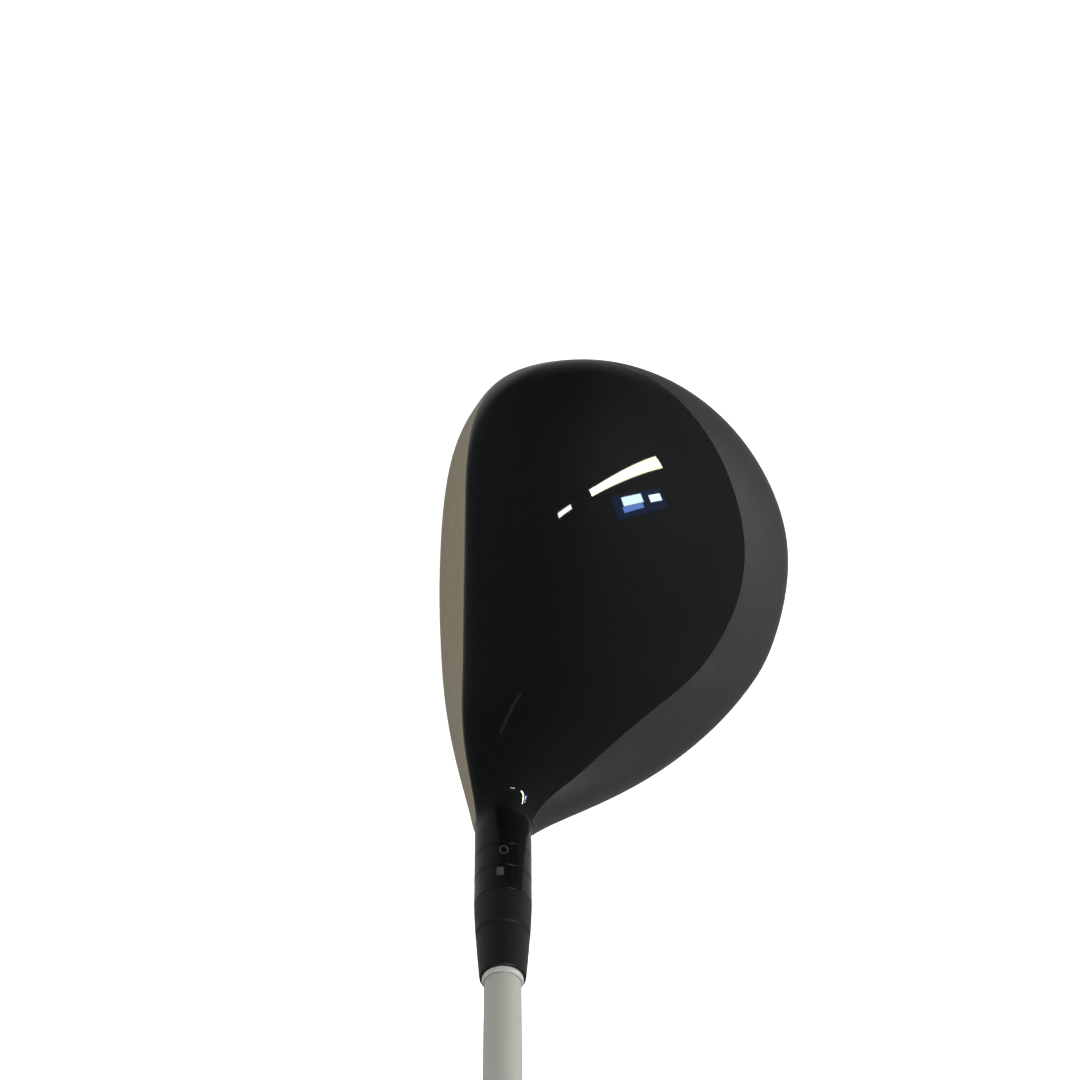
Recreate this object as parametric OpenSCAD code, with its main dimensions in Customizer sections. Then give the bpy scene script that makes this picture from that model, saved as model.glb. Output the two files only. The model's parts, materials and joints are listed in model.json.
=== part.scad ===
// Adjustable fairway wood: hollow steel head, indexable hosel sleeve, tapered shaft and rubber grip.
// The club stands at address: face towards -X, toe towards +Y, shaft rising towards -Y.
// The origin is the middle of the flat on the sole, where the head rests on the ground.

/* [Club] */
// Angle between the shaft and the ground, degrees
lie_angle = 57; // [55:0.5:59]
// Length along the shaft from the ground to the end of the grip
club_length = 1092; // [1000:1:1130]
// Length of the rubber grip
grip_length = 268; // [240:1:280]

/* [Head] */
// Wall thickness of the face, crown and body
wall = 1.2; // [1:0.1:1.5]
// How far the shaft axis stands from the middle of the sole; negative is towards the face
shaft_x = -9.6; // [-10:0.1:-9.2]
// Where the shaft axis meets the ground, towards the heel
axis_ground_y = -51.6; // [-52:0.1:-51.2]
// Outside radius of the hosel
hosel_r = 7.2; // [7:0.1:7.4]

/* [Hosel adapter] */
// Height along the shaft axis of the hosel's mouth
hosel_top = 50.1; // [49:0.1:51.5]
// Height of the indexed loft ring
ring_h = 7.4; // [6:0.1:8]
// Height of the sleeve's exposed collar
collar_h = 7.5; // [6:0.1:9]
// Height of the ferrule, without its end ring
ferrule_h = 22.5; // [17:0.1:25]
// Pitch of the hosel screw's thread and of the sole weight's thread
thread_pitch = 0.8; // [0.8:0.1:1]

/* [Sole weight] */
// Distance of the weight behind the sole flat
weight_x = 38; // [34:1:40]
// Radius of the weight's head
weight_r = 7.9; // [7:0.1:8]

/* [Shaft] */
// Shaft radius at the tip
tip_r = 4.25; // [4.2:0.05:4.3]
// Shaft radius at the butt
butt_r = 7.6; // [7.4:0.1:7.8]

/* [Hidden] */

// ---------- head surface ----------
// Each station is a closed section, cut across the head from the toe to the hosel.
// Toe stations are upright planes. Heel stations fan round a pivot above the heel,
// until they are square to the shaft. Neck stations then step up along the shaft.
pivot_y = -30;
pivot_z = 59.6;
// The toe's outermost point, [x, height]
tip = [11, 21];
// Distance along the shaft between neck stations
neck_step = 3;
// How much wider than the hosel the neck's root is
neck_flare = 0.2;

// Height of the shaft axis in a fan plane that is square to the shaft
axis_v = pivot_z + (axis_ground_y - pivot_y) * sin(lie_angle) - pivot_z * cos(lie_angle);
// Distance along the shaft from the ground to that plane
neck_start = (axis_ground_y - pivot_y) * cos(lie_angle) + pivot_z * sin(lie_angle);
neck_end = neck_start + 2 * neck_step;

// Upright: ["y", y]. Fan: ["fan", part of the lie angle]. Along the shaft: ["neck", steps].
// Then: leading edge, paint edge of the face, heights of the two crown handles,
// edge of the gloss crown, rim, low point of the sole, size of the rounding over the face.
stations = [
    ["y", 46.7, "tip"],
    ["y", 44.0, [-5.6, 18.8], [-5.4, 21.6], [31.0, 30.5], [23.5, 25.0], [26.8, 20.5], [11, 11.5], [5.2, 6.6]],
    ["y", 36.5, [-15.0, 13.0], [-14.6, 26.0], [37.2, 36.0], [34.8, 26.5], [41.3, 19.5], [11, 5.0], [4.4, 7.2]],
    ["y", 25.0, [-21.8, 6.4], [-18.2, 33.4], [40.5, 38.3], [43.9, 27.5], [53.0, 18.8], [10, 1.8], [3.4, 3.2]],
    ["y", 11.0, [-25.0, 4.6], [-18.9, 35.3], [42.0, 39.6], [49.8, 28.0], [61.0, 18.2], [8, 0.4], [3.2, 2.6]],
    ["y", -3.0, [-26.2, 4.5], [-19.2, 35.7], [42.2, 39.8], [52.0, 28.0], [64.4, 18.0], [6, -0.2], [3.2, 2.6]],
    ["y", -17.0, [-26.6, 4.6], [-19.5, 35.5], [42.0, 39.2], [49.6, 28.2], [63.3, 18.3], [5, 0.0], [3.2, 2.6]],
    ["y", -30.0, [-26.2, 5.0], [-19.7, 34.9], [41.0, 37.8], [42.4, 28.5], [59.4, 19.0], [3, 0.8], [3.2, 2.6]],
    ["fan", 0.22, [-25.4, 5.3], [-19.9, 33.9], [39.6, 36.5], [35.9, 28.8], [54.0, 19.3], [0.8, 1.2], [3.2, 2.7]],
    ["fan", 0.44, [-23.5, 2.2], [-20.0, 31.0], [36.0, 33.0], [27.0, 26.9], [45.9, 17.2], [-2.8, -1.7], [3.1, 2.8]],
    ["fan", 0.64, [-20.6, 0.1], [-19.6, 26.1], [30.3, 27.4], [17.6, 22.8], [34.0, 14.2], [-5.5, -2.8], [2.6, 2.7]],
    ["fan", 0.8, [-18.4, 1.6], [-18.3, 19.7], [23.6, 21.4], [9.2, 18.2], [19.5, 12.2], [-7.6, -0.5], [2.1, 2.6]],
    ["fan", 0.92, [-17.3, 3.6], [-16.9, 13.9], [18.0, 18.0], [1.2, 14.9], [5.4, 11.4], [-8.9, 1.3], [1.9, 2.1]],
    ["fan", 1, hosel_r + neck_flare],
    ["neck", 1, hosel_r],
    ["neck", 2, hosel_r],
];
last = len(stations) - 1;

function lerp(a, b, t) = a + (b - a) * t;
function unit(v) = v / norm(v);
function bezier(p, t) = pow(1 - t, 3) * p[0] + 3 * t * pow(1 - t, 2) * p[1]
    + 3 * t * t * (1 - t) * p[2] + pow(t, 3) * p[3];
function polar(c, r, a) = c + r * [cos(a), sin(a)];

// The six edges of a neck section: angles of the same corners on the hosel's circle
corner_angles = [205, 158, 130, 12, -18, -90, -155];
function arc(c, r, a, b) = let (h = 4 / 3 * tan((b - a) / 4) * r)
    [polar(c, r, a), polar(c, r, a) + h * [-sin(a), cos(a)],
     polar(c, r, b) - h * [-sin(b), cos(b)], polar(c, r, b)];
function neck_section(r) = [for (i = [0:5])
    arc([shaft_x, axis_v], r, corner_angles[i], corner_angles[i + 1])];

// The six edges of a head section: face, rounding, crown, band, skirt and sole
function head_section(lead, paint, top, band, rim, low, round) = let (
    edge = paint + round,
    face_2 = [lerp(lead.x, paint.x, 0.64) - 0.35, lerp(lead.y, paint.y, 0.67)],
    crown_w = band.x - edge.x,
    crown_1 = [edge.x + crown_w * 0.33, top[0]],
    crown_2 = [band.x - crown_w * 0.3, top[1]],
    reach = 0.6 * min(round)) [
    [lead, [lerp(lead.x, paint.x, 0.3) - 0.35, lerp(lead.y, paint.y, 0.33)], face_2, paint],
    [paint, paint + unit(paint - face_2) * reach, edge - unit(crown_1 - edge) * reach, edge],
    [edge, crown_1, crown_2, band],
    [band, [lerp(band.x, rim.x, 0.55), lerp(band.y, rim.y, 0.3)], [rim.x, lerp(rim.y, band.y, 0.4)], rim],
    [rim, [rim.x, lerp(rim.y, low.y, 0.5)], [lerp(low.x, rim.x, 0.62), low.y], low],
    [low, [lerp(low.x, lead.x, 0.6), low.y], [lead.x - 0.2, lerp(low.y, lead.y, 0.25)], lead]];

// Directions that the corners move in when the section shrinks by the wall
corner_insets = [[1, 0.5], [1, -0.6], [0.6, -1], [-0.6, -1], [-1, 0], [0, 1], [1, 0.5]];
function inset(edges, w) = [for (i = [0:5]) [for (j = [0:3])
    edges[i][j] + w * lerp(corner_insets[i], corner_insets[i + 1], j / 3)]];

function section(st, w) =
    st[2] == "tip" ? [for (i = [0:5]) [tip, tip, tip, tip]] :
    is_num(st[2]) ? neck_section(st[2] - w) :
    inset(head_section(st[2], st[3], st[4], st[5], st[6], st[7], st[8]), w);

// A point [x, height] of a station's plane, in the club's frame
function placed(st, p, w) = let (
    turn = st[0] == "y" ? 0 : st[0] == "fan" ? st[1] * lie_angle : lie_angle,
    up = st[0] == "neck" ? st[1] * neck_step : 0,
    base_y = st[0] == "y" ? st[1] - (st[2] == "tip" ? w : 0) : pivot_y)
    [p.x, base_y + (p.y - pivot_z) * sin(turn) - up * cos(turn),
     pivot_z + (p.y - pivot_z) * cos(turn) + up * sin(turn)];

// A smooth curve from toe to neck through the same point of every station.
// It runs over the toe, where the far side mirrors the near side, and straight out of the neck.
function over_toe(a, b) = [2 * a.x - b.x, b.y, 2 * a.z - b.z];
function smoothed(q) = let (
    ghosts = concat([over_toe(q[0], q[1])], q, [2 * q[last] - q[last - 1]]),
    mid = [for (i = [1:last + 1]) ghosts[i] - (ghosts[i - 1] - 2 * ghosts[i] + ghosts[i + 1]) / 6])
    concat([over_toe(mid[0], mid[1])], mid, [2 * mid[last] - mid[last - 1]]);
function along(c, s) = let (i = min(floor(s), last - 1), f = s - i)
    (pow(1 - f, 3) * c[i] + (3 * pow(f, 3) - 6 * f * f + 4) * c[i + 1]
     + (-3 * pow(f, 3) + 3 * f * f + 3 * f + 1) * c[i + 2] + pow(f, 3) * c[i + 3]) / 6;

// Rows of points from the toe to the neck, over the given edges of the section
rows_per_station = 3;
row_count = last * rows_per_station;
function columns(edges, steps, w) = let (
    all = [for (st = stations) section(st, w)],
    ticks = [for (e = [0:len(edges) - 1]) for (k = [(e == 0 ? 0 : 1):steps[e]]) [edges[e], k / steps[e]]])
    [for (tick = ticks) smoothed([for (i = [0:last])
        placed(stations[i], bezier(all[i][tick[0]], tick[1]), w)])];
function grid(edges, steps, w) = let (cols = columns(edges, steps, w))
    [for (r = [0:row_count]) [for (c = cols) along(c, r / rows_per_station)]];

// A closed shell over some of the section's edges: outer face, inner face and rims.
// All outer points at the toe's pole are one point, and so are the inner ones.
module shell_patch(edges, steps) {
    outer = grid(edges, steps, 0);
    inner = grid(edges, steps, wall);
    n = len(outer[0]);
    points = concat([outer[0][0], inner[0][0]],
        [for (r = [1:row_count]) for (p = outer[r]) p],
        [for (r = [1:row_count]) for (p = inner[r]) p]);
    in = row_count * n;
    function at(r, c) = 2 + (r - 1) * n + c;
    function quad(a, b, c, d) = [[a, b, c], [a, c, d]];
    tris = concat(
        [for (c = [0:n - 2]) [0, at(1, c + 1), at(1, c)]],
        [for (c = [0:n - 2]) [1, at(1, c) + in, at(1, c + 1) + in]],
        [for (r = [1:row_count - 1]) for (c = [0:n - 2]) for (t =
            quad(at(r, c), at(r, c + 1), at(r + 1, c + 1), at(r + 1, c))) t],
        [for (r = [1:row_count - 1]) for (c = [0:n - 2]) for (t =
            quad(at(r, c), at(r + 1, c), at(r + 1, c + 1), at(r, c + 1))) t + [in, in, in]],
        quad(0, at(1, 0), at(1, 0) + in, 1),
        quad(0, 1, at(1, n - 1) + in, at(1, n - 1)),
        [for (r = [1:row_count - 1]) for (t =
            quad(at(r, 0), at(r + 1, 0), at(r + 1, 0) + in, at(r, 0) + in)) t],
        [for (r = [1:row_count - 1]) for (t =
            quad(at(r, n - 1), at(r, n - 1) + in, at(r + 1, n - 1) + in, at(r + 1, n - 1))) t],
        [for (c = [0:n - 2]) for (t = quad(at(row_count, c), at(row_count, c + 1),
            at(row_count, c + 1) + in, at(row_count, c) + in)) t]);
    polyhedron(points, tris);
}

// ---------- frames ----------
// Along the shaft axis, with local Z up the shaft and 0 at the ground
module on_shaft(up = 0) {
    translate([shaft_x, axis_ground_y, 0]) rotate([90 - lie_angle, 0, 0]) translate([0, 0, up]) children();
}
// On the sole, with local Z straight into the head through the weight
weight_y = -3;
weight_z = 3.2;
// How far the weight's axis leans, so that it stands square to the sole
weight_tilt = 13;
module on_weight() {
    translate([weight_x, weight_y, weight_z]) rotate([0, -weight_tilt, 0]) children();
}
// A tube, solid of revolution, between two heights
module tube(r_out, r_in, low, high) {
    difference() {
        translate([0, 0, low]) cylinder(r = r_out, h = high - low, $fn = 64);
        translate([0, 0, low - 1]) cylinder(r = r_in, h = high - low + 2, $fn = 64);
    }
}

// ---------- hosel and adapter dimensions ----------
// Heights are along the shaft from the ground. Fit is the radial clearance of sliding parts.
fit = 0.05;
// The hosel's bore for the sleeve, and the outside of its tube inside the head
bore_r = 5;
neck_tube_r = 5.7;
// The sleeve's low end when it is seated
sleeve_low = 25;
ring_top = hosel_top + ring_h;
collar_top = ring_top + collar_h;
ferrule_top = collar_top + ferrule_h;
end_ring_h = 1.5;
end_ring_r = 5.1;
// Four tangs index the loft ring in the hosel's mouth
tang_w = 2;
tang_h = 1.6;
// The screw's shank, the threaded holes, the screw's head and the port below it
screw_r = 2.45;
thread_r = screw_r + fit;
screw_head_r = 3.9;
screw_port_r = 4.4;
// The web inside the hosel that the screw's head pulls on
web_low = 19;
web_h = 2.2;
washer_h = 0.8;
// How far the screw reaches into the sleeve
screw_reach = 7.6;
// The shaft's tip inside the sleeve, its butt under the cap, and its wall
shaft_low = 37;
shaft_top = club_length - 4;
shaft_wall = 0.9;
grip_low = club_length - grip_length;
function shaft_r(m) = lerp(tip_r, butt_r, (m - shaft_low) / (shaft_top - shaft_low));

// ---------- head ----------
module head_body() {
    color([0.27, 0.27, 0.26]) difference() {
        shell_patch([3, 4, 5], [4, 7, 6]);
        translate([-60, -120, -10]) cube([160, 240, 10]);
        on_shaft(-5) cylinder(r = neck_tube_r + 0.1, h = neck_end + 5, $fn = 64);
        on_weight() translate([0, 0, -8]) cylinder(r = port_r + 0.1, h = 16, $fn = 64);
    }
}

module face_plate() {
    color([0.46, 0.44, 0.38]) shell_patch([0], [4]);
}

module crown_panel() {
    color([0.03, 0.03, 0.035]) shell_patch([1, 2], [3, 10]);
}

// Two upright ribs stiffen the sole. They and the pad sink a little way into its inner face.
rib_size = [24, 1.4, 4.5];
module sole_ribs() {
    color([0.5, 0.5, 0.5]) for (y = [14, -20]) translate([-2, y - rib_size.y / 2, 0.9]) cube(rib_size);
}

// A dome of soft glue inside the toe deadens the sound and sets the head's weight
module damping_pad() {
    pad_r = 8;
    color([0.8, 0.75, 0.6]) translate([8, 27, 2.6]) rotate_extrude($fn = 48)
        polygon(concat([[0, 0]], [for (a = [0:15:90]) [pad_r * cos(a), 1 + 2.6 * sin(a)]]));
}

// The weight's threaded port, welded into a round hole in the sole
port_r = weight_r + 1.4;
port_floor = 3.6;
port_h = 9.4;
port_lip = 0.45;
stem_top = 8.8;
module weight_port() {
    color([0.35, 0.35, 0.35]) on_weight() difference() {
        translate([0, 0, port_lip]) cylinder(r = port_r, h = port_h - port_lip, $fn = 64);
        translate([0, 0, -1]) cylinder(r = weight_r + 0.1, h = port_floor + 1, $fn = 64);
        cylinder(r = thread_r, h = port_h + 1, $fn = 48);
    }
}

// The weight's head lies a little inside the port's mouth, on a rubber seal
seal_h = 0.8;
weight_low = 0.6;
weight_top = port_floor - seal_h - 2 * fit;
module weight() {
    color([0.6, 0.6, 0.6]) on_weight() difference() {
        union() {
            translate([0, 0, weight_low]) cylinder(r = weight_r, h = weight_top - weight_low, $fn = 64);
            translate([0, 0, weight_low + 1]) cylinder(r = screw_r, h = stem_top - weight_low - 1, $fn = 48);
        }
        translate([0, 0, weight_low - 1]) cylinder(r = 2.1, h = 2.6, $fn = 6);
    }
}

module weight_seal() {
    color([0.05, 0.05, 0.05]) on_weight() tube(5.6, screw_r + 0.1, weight_top + fit, weight_top + fit + seal_h);
}

// The hosel is one tube from the sole to its mouth, with a web that the screw pulls on
// Its low end is cut off along the slope of the sole under it
sole_cut_y = -54;
sole_cut_z = 4.6;
sole_cut_tilt = -13;
module hosel() {
    color([0.03, 0.03, 0.035]) difference() {
        on_shaft() union() {
            translate([0, 0, -4]) cylinder(r = neck_tube_r, h = neck_end + 4, $fn = 64);
            translate([0, 0, neck_end]) cylinder(r = hosel_r, h = hosel_top - neck_end, $fn = 64);
        }
        on_shaft(web_low + web_h) cylinder(r = bore_r, h = 60, $fn = 64);
        on_shaft(-10) cylinder(r = screw_port_r, h = 10 + web_low, $fn = 64);
        on_shaft() cylinder(r = screw_r + 0.25, h = 40, $fn = 48);
        for (a = [0:90:270]) on_shaft(hosel_top - tang_h - 0.1) rotate(a)
            translate([bore_r - 0.6, -tang_w / 2 - 0.1, 0]) cube([1.7, tang_w + 0.2, 4]);
        translate([shaft_x, sole_cut_y, sole_cut_z]) rotate([sole_cut_tilt, 0, 0])
            translate([-15, -30, -30]) cube([30, 60, 30]);
    }
}

module screw_washer() {
    color("silver") on_shaft() tube(screw_port_r - 0.2, screw_r + 0.15, web_low - washer_h, web_low);
}

module screw_retainer() {
    color([0.1, 0.1, 0.1]) on_shaft() tube(bore_r - 0.1, screw_r + 0.15, web_low + web_h, web_low + web_h + 1);
}

head_h = 4.6;
module hosel_screw() {
    head_top = web_low - washer_h - fit;
    color([0.7, 0.7, 0.7]) on_shaft() difference() {
        union() {
            translate([0, 0, head_top - head_h]) cylinder(r = screw_head_r, h = head_h, $fn = 64);
            cylinder_between(screw_r, head_top - 1, sleeve_low + screw_reach);
        }
        translate([0, 0, head_top - head_h - 1]) cylinder(r = 2.2, h = 4, $fn = 6);
    }
}
module cylinder_between(r, low, high) {
    translate([0, 0, low]) cylinder(r = r, h = high - low, $fn = 48);
}

// ---------- sleeve, ferrule and shaft ----------
module adapter_sleeve() {
    color([0.12, 0.12, 0.12]) on_shaft() difference() {
        union() {
            translate([0, 0, sleeve_low]) cylinder(r = bore_r - fit, h = collar_top - sleeve_low, $fn = 64);
            translate([0, 0, ring_top]) cylinder(r = hosel_r - 0.1, h = collar_h, $fn = 64);
        }
        translate([0, 0, sleeve_low - 1]) cylinder(r = thread_r, h = 10.5, $fn = 48);
        translate([0, 0, shaft_low - 0.2]) cylinder(r = shaft_r(collar_top) + fit, h = 60, $fn = 64);
    }
}

module loft_ring() {
    color([0.05, 0.05, 0.05]) on_shaft() union() {
        tube(hosel_r - 0.05, bore_r, hosel_top, ring_top);
        for (a = [0:90:270]) rotate(a) translate([bore_r, -tang_w / 2, hosel_top - tang_h])
            cube([0.9, tang_w, tang_h]);
    }
}

module ferrule() {
    top_r = 5.6;
    color([0.08, 0.08, 0.08]) on_shaft() rotate_extrude($fn = 64) polygon(concat(
        [[shaft_r(ferrule_top) + fit, collar_top], [hosel_r - 0.1, collar_top]],
        [for (k = [1:6]) let (t = k / 6) [lerp(hosel_r - 0.1, top_r, pow(t, 1.35)), collar_top + ferrule_h * t]],
        [[shaft_r(ferrule_top) + fit, ferrule_top]]));
}

module ferrule_ring() {
    color([0.55, 0.55, 0.55]) on_shaft() tube(end_ring_r, shaft_r(ferrule_top + end_ring_h) + fit,
        ferrule_top, ferrule_top + end_ring_h);
}

module shaft() {
    color([0.78, 0.78, 0.76]) on_shaft() rotate_extrude($fn = 64) polygon([
        [tip_r - shaft_wall, shaft_low], [tip_r, shaft_low],
        [butt_r, shaft_top], [butt_r - shaft_wall, shaft_top]]);
}

module tip_plug() {
    color([0.7, 0.55, 0.35]) on_shaft() cylinder_between(tip_r - shaft_wall - fit, shaft_low, shaft_low + 12);
}

// ---------- grip ----------
// The grip slides onto the shaft over a layer of tape, and a cap with a vent closes it
tape_t = 0.25;
cap_h = 4;
module tapered_tube(low, high, gap_in, gap_out) {
    rotate_extrude($fn = 64) polygon([
        [shaft_r(low) + gap_in, low], [shaft_r(low) + gap_out, low],
        [shaft_r(high) + gap_out, high], [shaft_r(high) + gap_in, high]]);
}

module grip_tape() {
    color([0.9, 0.88, 0.8]) on_shaft() tapered_tube(grip_low + 4, shaft_top, fit, tape_t);
}

module grip() {
    mouth_r = 9;
    end_r = 13;
    inner = tape_t + fit;
    color([0.07, 0.07, 0.07]) on_shaft() rotate_extrude($fn = 64) polygon(concat(
        [[shaft_r(grip_low) + inner, grip_low], [mouth_r - 0.6, grip_low], [mouth_r, grip_low + 0.8]],
        [for (k = [1:6]) let (t = k / 6)
            [lerp(mouth_r, end_r, pow(t, 1.15)), lerp(grip_low + 0.8, shaft_top, t)]],
        [[shaft_r(shaft_top) + inner, shaft_top]]));
}

vent_r = 2;
module grip_cap() {
    cap_r = 13.6;
    color([0.07, 0.07, 0.07]) on_shaft() rotate_extrude($fn = 64) polygon(concat(
        [[vent_r, shaft_top], [cap_r - 0.6, shaft_top]],
        [for (a = [-20:20:80]) [cap_r - 2.4 + 2.4 * cos(a), shaft_top + 1.6 + 2.4 * sin(a)]],
        [[vent_r, shaft_top + cap_h]]));
}

head_body();
face_plate();
crown_panel();
sole_ribs();
damping_pad();
weight_port();
weight();
weight_seal();
hosel();
screw_washer();
screw_retainer();
hosel_screw();
adapter_sleeve();
loft_ring();
ferrule();
ferrule_ring();
shaft();
tip_plug();
grip_tape();
grip();
grip_cap();
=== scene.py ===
"""The fairway wood's looks: finely lofted shells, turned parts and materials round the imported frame.

Lengths below are in millimetres in the club's own frame, and MM turns them into metres.
The head's section table and its rules are the design's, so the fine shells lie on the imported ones.
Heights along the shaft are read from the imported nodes.
"""

import json
import math

import bmesh
import bpy
import numpy as np
from mathutils import Matrix, Vector


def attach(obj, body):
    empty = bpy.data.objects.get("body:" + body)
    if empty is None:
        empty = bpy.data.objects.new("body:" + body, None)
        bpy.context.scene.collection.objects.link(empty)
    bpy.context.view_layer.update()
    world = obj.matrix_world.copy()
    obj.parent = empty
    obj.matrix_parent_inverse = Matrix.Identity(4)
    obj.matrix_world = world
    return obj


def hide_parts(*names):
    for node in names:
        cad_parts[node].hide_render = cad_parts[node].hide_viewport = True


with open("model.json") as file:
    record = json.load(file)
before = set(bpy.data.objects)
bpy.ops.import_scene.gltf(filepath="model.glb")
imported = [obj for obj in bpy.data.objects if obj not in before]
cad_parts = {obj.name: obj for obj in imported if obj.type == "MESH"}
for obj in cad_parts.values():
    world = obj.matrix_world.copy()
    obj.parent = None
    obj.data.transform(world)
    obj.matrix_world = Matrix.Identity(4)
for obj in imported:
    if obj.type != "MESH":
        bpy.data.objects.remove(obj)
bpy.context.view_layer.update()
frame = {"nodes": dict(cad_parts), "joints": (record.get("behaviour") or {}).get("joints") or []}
MM = 0.001

# ---------- the shaft's frame ----------
joints = {j["name"]: j for j in frame["joints"]}
UP_SHAFT = np.array(joints["shaft_lift"]["axis"], float)
ACROSS = np.array([1.0, 0.0, 0.0])
UPPER_SIDE = np.cross(UP_SHAFT, ACROSS)
screw_point = np.array(joints["hosel_screw_turn"]["pos_m"], float) / MM
FOOT = screw_point - UP_SHAFT * screw_point[2] / UP_SHAFT[2]
LIE = math.degrees(math.atan2(UP_SHAFT[2], -UP_SHAFT[1]))


def on_shaft(points):
    """Points (across, towards the upper side, height along the shaft) in the club's frame."""
    p = np.asarray(points, float)
    return FOOT + p[..., :1] * ACROSS + p[..., 1:2] * UPPER_SIDE + p[..., 2:3] * UP_SHAFT


def node_profile(node):
    """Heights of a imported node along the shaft, and its largest radius at each of them."""
    co = np.array([v.co for v in frame["nodes"][node].data.vertices], float) / MM - FOOT
    heights = np.round(co @ UP_SHAFT, 2)
    radii = np.hypot(co @ ACROSS, co @ UPPER_SIDE)
    levels = np.unique(heights)
    return levels, np.array([radii[heights == h].max() for h in levels])


# ---------- the head's surface ----------
PIVOT = (-30.0, 59.6)
TIP = (11.0, 21.0)
NECK_STEP = 3.0
NECK_R = 7.2
NECK_ROOT_R = 7.4
WALL = 1.2
NECK_START = (FOOT[1] - PIVOT[0]) * math.cos(math.radians(LIE)) + PIVOT[1] * math.sin(math.radians(LIE))
NECK_END = NECK_START + 2 * NECK_STEP
# Rows run from the toe to the neck: kind, place, lead, paint edge and the two crown handles' heights;
# then band, rim, low point and the rounding over the face
STATIONS = [
    ("y", 46.7),
    ("y", 44.0, (-5.6, 18.8), (-5.4, 21.6), (31.0, 30.5),
     (23.5, 25.0), (26.8, 20.5), (11, 11.5), (5.2, 6.6)),
    ("y", 36.5, (-15.0, 13.0), (-14.6, 26.0), (37.2, 36.0),
     (34.8, 26.5), (41.3, 19.5), (11, 5.0), (4.4, 7.2)),
    ("y", 25.0, (-21.8, 6.4), (-18.2, 33.4), (40.5, 38.3),
     (43.9, 27.5), (53.0, 18.8), (10, 1.8), (3.4, 3.2)),
    ("y", 11.0, (-25.0, 4.6), (-18.9, 35.3), (42.0, 39.6),
     (49.8, 28.0), (61.0, 18.2), (8, 0.4), (3.2, 2.6)),
    ("y", -3.0, (-26.2, 4.5), (-19.2, 35.7), (42.2, 39.8),
     (52.0, 28.0), (64.4, 18.0), (6, -0.2), (3.2, 2.6)),
    ("y", -17.0, (-26.6, 4.6), (-19.5, 35.5), (42.0, 39.2),
     (49.6, 28.2), (63.3, 18.3), (5, 0.0), (3.2, 2.6)),
    ("y", -30.0, (-26.2, 5.0), (-19.7, 34.9), (41.0, 37.8),
     (42.4, 28.5), (59.4, 19.0), (3, 0.8), (3.2, 2.6)),
    ("fan", 0.22, (-25.4, 5.3), (-19.9, 33.9), (39.6, 36.5),
     (35.9, 28.8), (54.0, 19.3), (0.8, 1.2), (3.2, 2.7)),
    ("fan", 0.44, (-23.5, 2.2), (-20.0, 31.0), (36.0, 33.0),
     (27.0, 26.9), (45.9, 17.2), (-2.8, -1.7), (3.1, 2.8)),
    ("fan", 0.64, (-20.6, 0.1), (-19.6, 26.1), (30.3, 27.4),
     (17.6, 22.8), (34.0, 14.2), (-5.5, -2.8), (2.6, 2.7)),
    ("fan", 0.8, (-18.4, 1.6), (-18.3, 19.7), (23.6, 21.4),
     (9.2, 18.2), (19.5, 12.2), (-7.6, -0.5), (2.1, 2.6)),
    ("fan", 0.92, (-17.3, 3.6), (-16.9, 13.9), (18.0, 18.0),
     (1.2, 14.9), (5.4, 11.4), (-8.9, 1.3), (1.9, 2.1)),
    ("fan", 1.0, NECK_ROOT_R),
    ("neck", 1, NECK_R),
    ("neck", 2, NECK_R),
]
LAST = len(STATIONS) - 1
FACE, ROUNDING, CROWN, BAND, SKIRT, SOLE = range(6)
CORNER_ANGLES = (205, 158, 130, 12, -18, -90, -155)
CORNER_INSETS = np.array([(1, 0.5), (1, -0.6), (0.6, -1), (-0.6, -1), (-1, 0), (0, 1), (1, 0.5)], float)


def lerp(a, b, t):
    return a + (b - a) * t


def unit(v):
    return v / np.linalg.norm(v)


def arc(centre, radius, start, end):
    """Handles of a circle's arc between two angles."""
    reach = 4 / 3 * math.tan(math.radians(end - start) / 4) * radius

    def point(a):
        return centre + radius * np.array([math.cos(math.radians(a)), math.sin(math.radians(a))])

    def heading(a):
        return np.array([-math.sin(math.radians(a)), math.cos(math.radians(a))])

    return [point(start), point(start) + reach * heading(start),
            point(end) - reach * heading(end), point(end)]


def head_section(*corners):
    """Handles of the six edges of a section: face, rounding, crown, band, skirt and sole."""
    lead, paint, top, band, rim, low, rounding = (np.array(c, float) for c in corners)
    edge = paint + rounding
    face_2 = np.array([lerp(lead[0], paint[0], 0.64) - 0.35, lerp(lead[1], paint[1], 0.67)])
    width = band[0] - edge[0]
    crown_1 = np.array([edge[0] + width * 0.33, top[0]])
    crown_2 = np.array([band[0] - width * 0.3, top[1]])
    reach = 0.6 * rounding.min()
    return [
        [lead, (lerp(lead[0], paint[0], 0.3) - 0.35, lerp(lead[1], paint[1], 0.33)), face_2, paint],
        [paint, paint + unit(paint - face_2) * reach, edge - unit(crown_1 - edge) * reach, edge],
        [edge, crown_1, crown_2, band],
        [band, (lerp(band[0], rim[0], 0.55), lerp(band[1], rim[1], 0.3)),
         (rim[0], lerp(rim[1], band[1], 0.4)), rim],
        [rim, (rim[0], lerp(rim[1], low[1], 0.5)), (lerp(low[0], rim[0], 0.62), low[1]), low],
        [low, (lerp(low[0], lead[0], 0.6), low[1]), (lead[0] - 0.2, lerp(low[1], lead[1], 0.25)), lead],
    ]


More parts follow.
